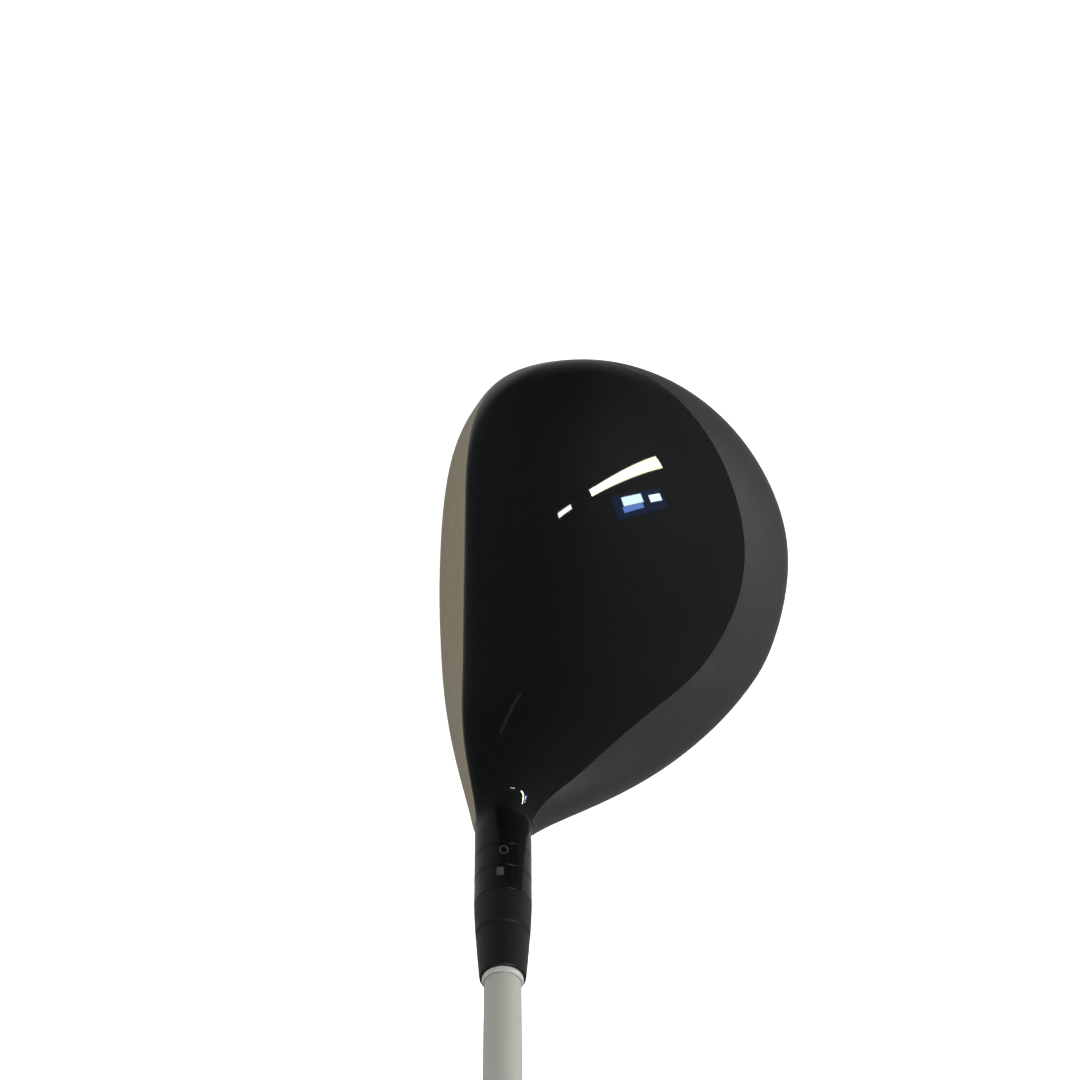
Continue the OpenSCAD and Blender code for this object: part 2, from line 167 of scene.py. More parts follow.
def section(station, inset):
    """A station's handles as an array [edge, handle, (x, height)], moved in by inset."""
    shape = station[2:]
    if not shape:
        return np.tile(np.array(TIP), (6, 4, 1))
    if len(shape) == 1:
        axis_height = PIVOT[1] + (FOOT[1] - PIVOT[0]) * math.sin(math.radians(LIE)) \
            - PIVOT[1] * math.cos(math.radians(LIE))
        centre = np.array([FOOT[0], axis_height])
        return np.array([arc(centre, shape[0] - inset, a, b)
                         for a, b in zip(CORNER_ANGLES[:-1], CORNER_ANGLES[1:])])
    edges = np.array([[np.asarray(h, float) for h in e] for e in head_section(*shape)])
    part = np.arange(4)[None, :, None] / 3
    return edges + inset * lerp(CORNER_INSETS[:-1, None], CORNER_INSETS[1:, None], part)


def placed(station, points, inset):
    """Points (x, height) of a station's plane in the club's frame."""
    kind, place, *shape = station
    turn = math.radians({"y": 0.0, "fan": place * LIE, "neck": LIE}[kind])
    step = place * NECK_STEP if kind == "neck" else 0.0
    base = PIVOT[0] if kind != "y" else place - (0 if shape else inset)
    x, height = points[..., 0], points[..., 1] - PIVOT[1]
    return np.stack([x, base + height * math.sin(turn) - step * math.cos(turn),
                     PIVOT[1] + height * math.cos(turn) + step * math.sin(turn)], -1)


def bezier(handles, t):
    """Points of a cubic curve with four handles."""
    t = t[..., None]
    return ((1 - t) ** 3 * handles[0] + 3 * t * (1 - t) ** 2 * handles[1]
            + 3 * t * t * (1 - t) * handles[2] + t ** 3 * handles[3])


def over_toe(a, b):
    """Points b mirrored past the toe's points a, which lets the surface close smoothly over the toe."""
    return np.stack([2 * a[..., 0] - b[..., 0], b[..., 1], 2 * a[..., 2] - b[..., 2]], -1)


def head_points(edge, s, t, inset=0.0):
    """Points of one edge's surface, as a smooth cubic spline through the stations.

    s (rows) runs from the toe to the neck, and t (rows, columns) over the edge.
    """
    q = np.array([placed(st, bezier(section(st, inset)[edge], t), inset) for st in STATIONS])
    ghosts = np.concatenate([over_toe(q[0], q[1])[None], q, (2 * q[-1] - q[-2])[None]])
    mid = ghosts[1:-1] - (ghosts[:-2] - 2 * ghosts[1:-1] + ghosts[2:]) / 6
    c = np.concatenate([over_toe(mid[0], mid[1])[None], mid, (2 * mid[-1] - mid[-2])[None]])
    i = np.minimum(np.floor(s).astype(int), LAST - 1)
    f = (s - i)[:, None, None]
    row = np.arange(len(s))
    return ((1 - f) ** 3 * c[i, row] + (3 * f ** 3 - 6 * f * f + 4) * c[i + 1, row]
            + (-3 * f ** 3 + 3 * f * f + 3 * f + 1) * c[i + 2, row] + f ** 3 * c[i + 3, row]) / 6


def normals(grid):
    """Outward unit normals of a grid of head points."""
    n = np.cross(np.gradient(grid, axis=1), np.gradient(grid, axis=0))
    return n / np.maximum(np.linalg.norm(n, axis=-1, keepdims=True), 1e-9)


# ---------- meshes ----------
def smooth_faces(mesh, sharp_angle):
    """Smooth shading, with edges sharper than the angle (degrees) kept crisp."""
    bm = bmesh.new()
    bm.from_mesh(mesh)
    bmesh.ops.recalc_face_normals(bm, faces=bm.faces)
    limit = math.radians(sharp_angle)
    for e in bm.edges:
        e.smooth = not (len(e.link_faces) == 2 and e.calc_face_angle(0) > limit)
    for f in bm.faces:
        f.smooth = True
    bm.to_mesh(mesh)
    bm.free()


def piece(name, points, faces, body, material, stands_for=(), sharp=35, cutters=()):
    """A closed mesh that rides on a body and stands for CAD nodes."""
    mesh = bpy.data.meshes.new(name)
    mesh.from_pydata((np.asarray(points, float) * MM).tolist(), [], faces)
    obj = bpy.data.objects.new(name, mesh)
    bpy.context.scene.collection.objects.link(obj)
    smooth_faces(mesh, sharp)
    if cutters:
        cut_away(obj, cutters, sharp)
    obj.data.materials.append(material)
    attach(obj, body)
    if stands_for:
        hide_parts(*stands_for)
    return obj


def cut_away(obj, cutters, sharp):
    """Cuts closed meshes, given as (points, faces), out of an object."""
    for points, faces in cutters:
        mesh = bpy.data.meshes.new("cutter")
        mesh.from_pydata((np.asarray(points, float) * MM).tolist(), [], faces)
        smooth_faces(mesh, sharp)
        cutter = bpy.data.objects.new("cutter", mesh)
        bpy.context.scene.collection.objects.link(cutter)
        cut = obj.modifiers.new("cut", "BOOLEAN")
        cut.object, cut.operation, cut.solver = cutter, "DIFFERENCE", "EXACT"
        done = bpy.data.meshes.new_from_object(obj.evaluated_get(bpy.context.evaluated_depsgraph_get()))
        obj.modifiers.clear()
        obj.data = done
        bpy.data.objects.remove(cutter)
    smooth_faces(obj.data, sharp)


def shell_mesh(outer, inner):
    """Points and faces of a closed shell between two grids whose first rows are single points."""
    rows, n = outer.shape[:2]
    points = np.concatenate([outer[:1, 0], inner[:1, 0],
                             outer[1:].reshape(-1, 3), inner[1:].reshape(-1, 3)])
    skip = (rows - 1) * n

    def at(r, c):
        return 2 + (r - 1) * n + c

    faces = []
    for c in range(n - 1):
        faces += [(0, at(1, c), at(1, c + 1)), (1, at(1, c + 1) + skip, at(1, c) + skip)]
        a, b = at(rows - 1, c), at(rows - 1, c + 1)
        faces.append((a, a + skip, b + skip, b))
    for r in range(1, rows - 1):
        for c in range(n - 1):
            quad = (at(r, c), at(r + 1, c), at(r + 1, c + 1), at(r, c + 1))
            faces += [quad, tuple(k + skip for k in reversed(quad))]
        a, b = at(r, 0), at(r + 1, 0)
        faces.append((a, a + skip, b + skip, b))
        a, b = at(r, n - 1), at(r + 1, n - 1)
        faces.append((a, b, b + skip, a + skip))
    faces += [(0, 1, at(1, 0) + skip, at(1, 0)), (0, at(1, n - 1), at(1, n - 1) + skip, 1)]
    return points, faces


def head_grid(edges, columns, s, inset=0.0):
    """A grid over several edges side by side."""
    parts = []
    for k, (edge, count) in enumerate(zip(edges, columns)):
        t = np.linspace(0, 1, count + 1)[(1 if k else 0):]
        parts.append(head_points(edge, s, np.tile(t, (len(s), 1)), inset))
    return np.concatenate(parts, axis=1)


def eased(outline, size, steps=4):
    """A closed (radius, height) outline with every corner rounded off by size."""
    p = np.asarray(outline, float)
    out = []
    for k in range(len(p)):
        before, here, after = p[k - 1], p[k], p[(k + 1) % len(p)]
        to_before, to_after = before - here, after - here
        cut = min(size, 0.4 * np.linalg.norm(to_before), 0.4 * np.linalg.norm(to_after))
        start, end = here + unit(to_before) * cut, here + unit(to_after) * cut
        guard = min(1.6 * cut, 0.45 * np.linalg.norm(to_before))
        out.append(here + unit(to_before) * guard)
        for t in np.linspace(0, 1, steps + 1):
            out.append((1 - t) ** 2 * start + 2 * t * (1 - t) * here + t * t * end)
        guard = min(1.6 * cut, 0.45 * np.linalg.norm(to_after))
        out.append(here + unit(to_after) * guard)
    return np.array(out)


def looped(rings, count):
    """Quads between rings of points, where every ring closes and the last one meets the first."""
    return [(a * count + k, a * count + (k + 1) % count,
             (a + 1) % rings * count + (k + 1) % count, (a + 1) % rings * count + k)
            for a in range(rings) for k in range(count)]


def turned(outline, sides=96):
    """A ring-shaped solid turned round the shaft axis from a closed (radius, height) outline."""
    profile = np.asarray(outline, float)
    angles = np.arange(sides) * 2 * math.pi / sides
    r, h = profile[:, 0][None], profile[:, 1][None]
    local = np.stack([r * np.cos(angles)[:, None], r * np.sin(angles)[:, None],
                      h + 0 * angles[:, None]], -1)
    return local, looped(sides, len(profile))


def ring_piece(name, outline, material, node, ease):
    """A turned ring on the shaft assembly, with eased corners."""
    local, faces = turned(eased(outline, ease))
    return piece(name, on_shaft(local.reshape(-1, 3)), faces, "shaft_assembly", material,
                 [node], sharp=50)


def rod(radius, low, high, place, sides=64):
    """Points and faces of a closed rod, placed by a function from (x, y, height)."""
    angles = np.arange(sides) * 2 * math.pi / sides
    ring = np.stack([radius * np.cos(angles), radius * np.sin(angles)], -1)
    points = [(x, y, h) for h in (low, high) for x, y in ring]
    faces = [(k, (k + 1) % sides, sides + (k + 1) % sides, sides + k) for k in range(sides)]
    faces += [tuple(range(sides)), tuple(range(sides, 2 * sides))]
    return place(np.array(points)), faces


# ---------- materials ----------
def map_range(nodes, links, value, start, end, low, high):
    """Maps a value from start..end to low..high."""
    m = nodes.new("ShaderNodeMapRange")
    for socket, v in (("From Min", start), ("From Max", end), ("To Min", low), ("To Max", high)):
        m.inputs[socket].default_value = v
    links.new(value, m.inputs["Value"])
    return m.outputs["Result"]


class Finish:
    """A Principled material with short calls for its procedural parts."""

    def __init__(self, name, color, roughness, metallic=0.0, **sockets):
        self.material = bpy.data.materials.new(name)
        self.material.use_nodes = True
        self.nodes = self.material.node_tree.nodes
        self.links = self.material.node_tree.links
        self.shader = self.nodes["Principled BSDF"]
        self.set("Base Color", (*color, 1))
        self.set("Roughness", roughness)
        self.set("Metallic", metallic)
        for socket, value in sockets.items():
            self.set(socket.replace("_", " "), value)
        self.color, self.roughness = color, roughness
        self.where = self.nodes.new("ShaderNodeTexCoord").outputs["Object"]

    def set(self, socket, value):
        self.shader.inputs[socket].default_value = value

    def stretched(self, scale, turn=(0, 0, 0)):
        """The object's coordinates turned and stretched."""
        mapping = self.nodes.new("ShaderNodeMapping")
        mapping.inputs["Scale"].default_value = scale
        mapping.inputs["Rotation"].default_value = turn
        self.links.new(self.where, mapping.inputs["Vector"])
        return mapping.outputs["Vector"]

    def noise(self, scale, detail=3.0, rough=0.55, vector=None):
        n = self.nodes.new("ShaderNodeTexNoise")
        n.inputs["Scale"].default_value = scale
        n.inputs["Detail"].default_value = detail
        n.inputs["Roughness"].default_value = rough
        self.links.new(vector or self.where, n.inputs["Vector"])
        return n.outputs["Fac"]

    def ramp(self, value, stops):
        """Maps a value through (position, (r, g, b)) stops."""
        r = self.nodes.new("ShaderNodeValToRGB")
        self.links.new(value, r.inputs["Fac"])
        while len(r.color_ramp.elements) < len(stops):
            r.color_ramp.elements.new(0.5)
        for element, (position, color) in zip(r.color_ramp.elements, stops):
            element.position, element.color = position, (*color, 1)
        return r.outputs["Color"]

    def between(self, value, low, high, start=0.3, end=0.7):
        return map_range(self.nodes, self.links, value, start, end, low, high)

    def to(self, socket, value):
        self.links.new(value, self.shader.inputs[socket])
        return self

    def vary_roughness(self, value, swing):
        return self.to("Roughness", self.between(value, self.roughness - swing, self.roughness + swing))

    def vary_color(self, value, swing):
        """Lightens and darkens the colour by a share."""
        dark = tuple(c * (1 - swing) for c in self.color)
        light = tuple(c * (1 + swing) for c in self.color)
        return self.to("Base Color", self.ramp(value, [(0.3, dark), (0.7, light)]))

    def bump(self, height, strength, distance, coat=False):
        b = self.nodes.new("ShaderNodeBump")
        b.inputs["Strength"].default_value = strength
        b.inputs["Distance"].default_value = distance
        self.links.new(height, b.inputs["Height"])
        return self.to("Coat Normal" if coat else "Normal", b.outputs["Normal"])


def gloss_black(name, tint, flake):
    """Black paint with a fine dark flake under a hard clear coat."""
    f = Finish(name, tint, 0.5, 0.0, Coat_Weight=1.0, Coat_Roughness=0.02, Coat_IOR=1.5,
               Specular_IOR_Level=0.05)
    cells = f.nodes.new("ShaderNodeTexVoronoi")
    cells.inputs["Scale"].default_value = 9000
    f.links.new(f.where, cells.inputs["Vector"])
    sparkle = f.nodes.new("ShaderNodeSeparateColor")
    f.links.new(cells.outputs["Color"], sparkle.inputs["Color"])
    f.to("Base Color", f.ramp(sparkle.outputs["Red"], [(0.0, tint), (0.8, tint), (1.0, flake)]))
    f.vary_roughness(f.noise(900, 2), 0.05)
    f.bump(f.noise(38, 2, 0.4), 0.05, 0.0001, coat=True)
    return f.material


crown_gloss = gloss_black("crown_gloss", (0.0016, 0.0020, 0.0024), (0.0035, 0.0050, 0.0075))
neck_gloss = gloss_black("neck_gloss", (0.0020, 0.0021, 0.0020), (0.0035, 0.0038, 0.0040))


def satin_paint():
    f = Finish("body_satin", (0.0185, 0.0205, 0.0200), 0.40, 0.1, Specular_IOR_Level=0.9)
    grain = f.noise(2600, 4, 0.6)
    f.vary_color(grain, 0.14)
    f.vary_roughness(f.noise(240, 3), 0.05)
    f.bump(grain, 0.25, 0.00004)
    return f.material


def face_metal():
    f = Finish("face_steel", (0.190, 0.160, 0.098), 0.46, 0.2)
    brushed = f.noise(40, 5, 0.7, f.stretched((60, 6, 60)))
    f.vary_color(brushed, 0.12)
    f.vary_roughness(brushed, 0.07)
    f.bump(f.noise(3200, 3, 0.6), 0.3, 0.00004)
    return f.material


def plain_finish(name, color, roughness, metallic=0.0, grain=1800, swing=0.12, relief=0.00003):
    """A finish whose colour, gloss and relief all carry a fine grain."""
    f = Finish(name, color, roughness, metallic)
    value = f.noise(grain, 4, 0.6)
    f.vary_color(value, swing)
    f.vary_roughness(f.noise(grain / 7, 2), min(0.08, roughness * 0.3))
    f.bump(value, 0.3, relief)
    return f.material


def turned_finish(name, color, roughness, metallic=0.0):
    """A finish with faint rings round the shaft axis, as a lathe leaves."""
    f = Finish(name, color, roughness, metallic)
    tilt = f.stretched((1, 1, 1), (math.radians(LIE - 90), 0, 0))
    rings = f.nodes.new("ShaderNodeTexWave")
    rings.wave_type, rings.bands_direction = "BANDS", "Z"
    rings.inputs["Scale"].default_value = 1100
    rings.inputs["Distortion"].default_value = 1.5
    f.links.new(tilt, rings.inputs["Vector"])
    f.vary_color(f.noise(900, 3), 0.10)
    f.vary_roughness(f.noise(300, 2), 0.05)
    f.bump(rings.outputs["Fac"], 0.12, 0.00002)
    return f.material


def shaft_finish():
    """Pale grey paint with a faint lengthwise fleck."""
    f = Finish("shaft_paint", (0.232, 0.230, 0.208), 0.34, 0.0, Coat_Weight=0.35, Coat_Roughness=0.12)
    fleck = f.noise(30, 4, 0.6, f.stretched((70, 70, 6), (math.radians(LIE - 90), 0, 0)))
    f.vary_color(fleck, 0.035)
    f.vary_roughness(fleck, 0.05)
    f.bump(f.noise(700, 2), 0.1, 0.00002)
    return f.material


body_satin = satin_paint()
face_steel = face_metal()
ferrule_black = turned_finish("ferrule_plastic", (0.0040, 0.0043, 0.0042), 0.40)
trim_metal = turned_finish("ferrule_trim", (0.33, 0.33, 0.31), 0.35, 0.2)
shaft_paint = shaft_finish()
grip_rubber = plain_finish("grip_rubber", (0.018, 0.018, 0.019), 0.72, grain=1400, relief=0.00008)
mark_paint = plain_finish("mark_paint", (0.032, 0.034, 0.032), 0.5, grain=2500)
cast_steel = plain_finish("cast_steel", (0.42, 0.42, 0.41), 0.5, 0.9, grain=1200)
machined_steel = turned_finish("machined_steel", (0.58, 0.58, 0.57), 0.28, 1.0)
NODE_FINISHES = {
    "sole_ribs": cast_steel,
    "weight_port": cast_steel,
    "hosel_screw": machined_steel,
    "screw_washer": plain_finish("washer_steel", (0.62, 0.62, 0.60), 0.22, 1.0),
    "weight_seal": plain_finish("seal_rubber", (0.02, 0.02, 0.02), 0.7),
    "damping_pad": plain_finish("soft_glue", (0.72, 0.62, 0.42), 0.45, grain=500, swing=0.08),
    "screw_retainer": plain_finish("retainer_nylon", (0.05, 0.05, 0.05), 0.5),
    "tip_plug": plain_finish("cork", (0.50, 0.35, 0.20), 0.85, grain=700, swing=0.35),
    "grip_tape": plain_finish("tape", (0.80, 0.76, 0.64), 0.8, grain=600, swing=0.06),
}
for node, finish in NODE_FINISHES.items():
    materials = frame["nodes"][node].data.materials
    materials.clear()
    materials.append(finish)

# ---------- the head ----------
PAINT_S = 12.93
ROWS = np.unique(np.concatenate([np.linspace(0, 1, 15), np.linspace(1, LAST, 155), [PAINT_S]]))


def two_tone(obj, gloss):
    """The gloss paint covers everything above PAINT_S, where the neck leaves the head."""
    obj.data.materials.append(gloss)
    edge = head_points(BAND, np.array([PAINT_S]), np.array([[0.0, 0.5, 1.0]]))[0] - FOOT
    limit = float((edge @ UP_SHAFT).mean()) * MM
    foot = FOOT * MM
    for p in obj.data.polygons:
        p.material_index = int((np.array(p.center) - foot) @ UP_SHAFT > limit)


def crown():
    edges, columns = (ROUNDING, CROWN), (9, 46)
    points, faces = shell_mesh(head_grid(edges, columns, ROWS), head_grid(edges, columns, ROWS, WALL))
    return piece("crown", points, faces, "head", crown_gloss, ["crown_panel"], sharp=45)


LINE_HEIGHTS = np.arange(9.5, 31.0, 3.9)
LINE_HALF, LINE_DEPTH, LINE_EDGE = 0.28, 0.05, 0.1
LINE_Y = (-27.0, 27.0)


def face_columns(s):
    """Column places that put score-line edges at level heights in the middle of the face."""
    sides = (-LINE_HALF, -LINE_HALF + LINE_EDGE, LINE_HALF - LINE_EDGE, LINE_HALF)
    edges = [h + d for h in LINE_HEIGHTS for d in sides]
    low, high = edges[0], edges[-1]
    gaps = [lerp(a, b, t) for a, b in zip(edges[3:-1:4], edges[4::4]) for t in (0.33, 0.67)]
    middle = np.array(sorted(edges + gaps))
    fine = np.linspace(0, 1, 400)
    dense = head_points(FACE, s, np.tile(fine, (len(s), 1)))
    t = np.empty((len(s), len(middle) + 8))
    for r, row in enumerate(dense):
        z0, z1 = row[0, 2], row[-1, 2]
        share = (middle - low) / (high - low)
        fits = float(np.clip((min(low - z0, z1 - high) - 0.8) / 1.5, 0, 1)) if r else 0.0
        loose = lerp(z0 + 0.16 * (z1 - z0), z1 - 0.16 * (z1 - z0), share)
        heights = lerp(loose, middle, fits * fits * (3 - 2 * fits))
        inner = np.interp(heights, row[:, 2], fine)
        t[r] = np.concatenate([np.linspace(0, inner[0], 5)[:-1], inner, np.linspace(inner[-1], 1, 5)[1:]])
    return t


def face():
    s = np.unique(np.concatenate([np.linspace(0, 1, 13), np.linspace(1, 8, 160), np.linspace(8, LAST, 60)]))
    t = face_columns(s)
    outer, inner = head_points(FACE, s, t), head_points(FACE, s, t, WALL)
    height = outer[..., 2:3] - LINE_HEIGHTS
    across = np.clip((LINE_HALF - np.abs(height)) / LINE_EDGE, 0, 1).max(-1)
    reach = np.minimum(outer[..., 1] - LINE_Y[0], LINE_Y[1] - outer[..., 1])
    ends = np.clip(reach / 0.5, 0, 1)
    depth = LINE_DEPTH * across * ends
    outer = outer - normals(outer) * depth[..., None]
    points, faces = shell_mesh(outer, inner)
    obj = piece("face", points, faces, "head", face_steel, ["face_plate"], sharp=28)
    two_tone(obj, neck_gloss)
    return obj


WEIGHT_AT = np.array([38.0, -3.0, 3.2])
WEIGHT_TILT = math.radians(13)
INTO_HEAD = np.array([-math.sin(WEIGHT_TILT), 0, math.cos(WEIGHT_TILT)])
WEIGHT_X = np.array([math.cos(WEIGHT_TILT), 0, math.sin(WEIGHT_TILT)])
WEIGHT_Y = np.array([0.0, 1.0, 0.0])
WEIGHT_HOLE_R = 9.4
HOSEL_HOLE_R = 5.8
CHANNEL_X, CHANNEL_BEND = -9.0, 0.004
CHANNEL_HALF, CHANNEL_SIDE, CHANNEL_DEPTH = 3.4, 1.2, 0.45
CHANNEL_REACH, CHANNEL_FADE, CHANNEL_TOP = 30, 4, 8


def on_weight(points):
    """Points (along the weight's x, y and depth into the head) in the club's frame."""
    p = np.asarray(points, float)
    return WEIGHT_AT + p[..., :1] * WEIGHT_X + p[..., 1:2] * WEIGHT_Y + p[..., 2:3] * INTO_HEAD


def body():
    edges, columns = (BAND, SKIRT, SOLE), (20, 60, 52)
    outer = head_grid(edges, columns, ROWS)
    inner = head_grid(edges, columns, ROWS, WALL)
    # A shallow channel crosses the sole behind the leading edge
    x, y, z = outer[..., 0], outer[..., 1], outer[..., 2]
    middle = CHANNEL_X + CHANNEL_BEND * (y - 2) ** 2
    across = np.clip((CHANNEL_HALF - np.abs(x - middle)) / CHANNEL_SIDE, 0, 1)
    channel = across * np.clip((CHANNEL_REACH - np.abs(y - 3)) / CHANNEL_FADE, 0, 1) * (z < CHANNEL_TOP)
    outer = outer - normals(outer) * (CHANNEL_DEPTH * channel * channel * (3 - 2 * channel))[..., None]
    # The sole is flat where the head rests
    outer[..., 2] = np.maximum(outer[..., 2], 0.0)
    points, faces = shell_mesh(outer, inner)
    cutters = [rod(HOSEL_HOLE_R, -6, 30, on_shaft), rod(WEIGHT_HOLE_R, -8, 8, on_weight)]
    obj = piece("body", points, faces, "head", body_satin, ["head_body"],
                sharp=40, cutters=cutters)
    two_tone(obj, neck_gloss)
    return obj


crown()
face()
body()

# ---------- the hosel and what goes up the shaft ----------
hosel_top = node_profile("hosel")[0].max()
ring_low, ring_high = hosel_top, node_profile("loft_ring")[0].max()
collar_high = node_profile("adapter_sleeve")[0].max()
ferrule_high = node_profile("ferrule")[0].max()
trim_high = node_profile("ferrule_ring")[0].max()
shaft_heights, shaft_radii = node_profile("shaft")
SEAM = 0.06
BORE_R = 5.0
TUBE_R = 5.7
PORT_R = 4.4
SOLE_CUT_AT, SOLE_CUT_TILT = np.array([0, -54.0, 4.6]), math.radians(-13)
GLUE_GAP = 0.05
RING_R = NECK_R - 0.05
COLLAR_R = NECK_R - 0.08


def shaft_radius(m):
    return float(np.interp(m, [shaft_heights[0], shaft_heights[-1]], [shaft_radii[0], shaft_radii[-1]]))


def hosel():
    """The tube from the sole to the mouth, its low end cut off along the sole."""
    web_low, web_high, step = 19.0, 21.2, NECK_END
    low = 3.0
    neck_r, shank_hole_r = NECK_R - 0.02, 2.7
    outline = eased([(PORT_R, low), (TUBE_R, low), (TUBE_R, step), (neck_r, step), (neck_r, hosel_top),
                     (BORE_R, hosel_top), (BORE_R, web_high), (shank_hole_r, web_high),
                     (shank_hole_r, web_low), (PORT_R, web_low)], 0.15)
    local, faces = turned(outline)
    points = on_shaft(local)
    # Points at the low end slide along the axis onto the sole's slope
    slope = np.array([0, -math.sin(SOLE_CUT_TILT), math.cos(SOLE_CUT_TILT)])
    on_slope = ((SOLE_CUT_AT - points) @ slope) / (UP_SHAFT @ slope)
    near_end = np.clip((low + 2.0 - local[..., 2]) / 2.0, 0, 1)
    points = points + UP_SHAFT * (on_slope * near_end)[..., None]
    return piece("hosel_tube", points.reshape(-1, 3), faces, "head", neck_gloss,
                 ["hosel"], sharp=50)


def loft_ring():
    low, high = ring_low + SEAM, ring_high - SEAM
    outline = [(BORE_R, low), (RING_R, low), (RING_R, high), (BORE_R, high)]
    return ring_piece("index_ring", outline, neck_gloss, "loft_ring", ease=0.3)


def sleeve():
    sleeve_low = node_profile("adapter_sleeve")[0].min()
    shaft_seat = shaft_heights[0] - 0.2
    thread_r, tube_r = 2.5, BORE_R - 0.05
    inner = shaft_radius(collar_high) + GLUE_GAP
    outline = [(thread_r, sleeve_low), (tube_r, sleeve_low), (tube_r, ring_high), (COLLAR_R, ring_high),
               (COLLAR_R, collar_high), (inner, collar_high), (inner, shaft_seat), (thread_r, shaft_seat)]
    return ring_piece("sleeve", outline, neck_gloss, "adapter_sleeve", ease=0.25)


def ferrule():
    """The plastic cone, with a fine groove a little below its middle and a rounded end."""
    inner = shaft_radius(ferrule_high) + GLUE_GAP
    radii = node_profile("ferrule")[1]
    start_r, end_r = radii[0] - 0.02, radii[-1]
    groove_share, bulge = 0.44, 1.35
    groove_at = lerp(collar_high, ferrule_high, groove_share)
    outline = [(inner, collar_high + SEAM), (start_r, collar_high + SEAM)]
    outer = []
    for m in np.linspace(collar_high + 0.8, ferrule_high - 0.9, 30):
        t = (m - collar_high) / (ferrule_high - collar_high)
        if abs(m - groove_at) > 0.6:
            outer.append((lerp(start_r, end_r, t ** bulge) - (0.06 if m > groove_at else 0), m))
    at_groove = lerp(start_r, end_r, groove_share ** bulge)
    outer += [(at_groove, groove_at - 0.22), (at_groove - 0.16, groove_at - 0.08),
              (at_groove - 0.2, groove_at + 0.08), (at_groove - 0.06, groove_at + 0.22)]
    outline += sorted(outer, key=lambda p: p[1])
    for a in np.linspace(0, math.pi / 2, 6):
        outline.append((end_r - 0.55 + 0.5 * math.cos(a), ferrule_high - 0.5 + 0.5 * math.sin(a)))
    outline.append((inner, ferrule_high))
    local, faces = turned(outline, 128)
    return piece("ferrule_cone", on_shaft(local.reshape(-1, 3)), faces, "shaft_assembly",
                 ferrule_black, ["ferrule"], sharp=50)


def trim_ring():
    inner = shaft_radius(trim_high) + GLUE_GAP
    outer = node_profile("ferrule_ring")[1].max() - 0.15
    outline = [(inner, ferrule_high + 0.02), (outer, ferrule_high + 0.02), (outer, ferrule_high + 0.6),
               (inner + 0.2, trim_high), (inner, trim_high)]
    return ring_piece("ferrule_trim_ring", outline, trim_metal, "ferrule_ring", ease=0.2)


def shaft():
    """The tapered tube, open at both ends."""
    low, high, wall = shaft_heights[0], shaft_heights[-1], 0.9
    stops = np.linspace(low, high, 22)
    outline = [(shaft_radius(m), m) for m in stops] + [(shaft_radius(m) - wall, m) for m in stops[::-1]]
    local, faces = turned(eased(outline, 0.1, 2), 96)
    return piece("shaft_tube", on_shaft(local.reshape(-1, 3)), faces, "shaft_assembly",
                 shaft_paint, ["shaft"], sharp=50)


for make in (hosel, loft_ring, sleeve, ferrule, trim_ring, shaft):
    make()


def mark(name, rings, radius, centre_angle, centre_height, body_name):
    """A thin painted mark on a cylinder, between nested rings of (across, up) points, outermost first."""
    points, faces = [], []
    n = len(rings[0])
    for lift in (0.03, -0.08):
        for ring in rings:
            for across, up in ring:
                a = math.pi / 2 - centre_angle - across / radius
                r = radius + lift
                points.append((r * math.cos(a), r * math.sin(a), centre_height + up))
    under, last = len(rings) * n, (len(rings) - 1) * n
    for k in range(n):
        j = (k + 1) % n
        for base in range(0, last, n):
            faces += [(base + k, base + j, base + n + j, base + n + k),
                      (under + base + k, under + base + n + k, under + base + n + j, under + base + j)]
        faces += [(k, under + k, under + j, j), (last + k, last + j, under + last + j, under + last + k)]
    return piece(name, on_shaft(np.array(points)), faces, body_name, mark_paint, sharp=40)


def oval(rx, ry, count=40):
    return [(rx * math.cos(a), ry * math.sin(a)) for a in np.arange(count) * 2 * math.pi / count]


def soft_square(half_w, half_h, corner=0.35):
    out = []
    for cx, cy, start in ((1, 1, 0), (-1, 1, 90), (-1, -1, 180), (1, -1, 270)):
        for a in np.radians(start + np.linspace(0, 90, 6)):
            out.append((cx * (half_w - corner) + corner * math.cos(a),
                        cy * (half_h - corner) + corner * math.sin(a)))
    return out


mark("index_ring_mark", [oval(1.15, 1.4), oval(0.85, 1.1)], RING_R, 0.03, lerp(ring_low, ring_high, 0.34),
     "shaft_assembly")
SQUARE = [soft_square(0.9, 1.35), soft_square(0.55, 1.0, 0.25), soft_square(0.05, 0.1, 0.02)]
mark("sleeve_mark", SQUARE, COLLAR_R, -0.09, ring_high + 2.2, "shaft_assembly")


# ---------- the grip ----------
TAPE_GAP = 0.3


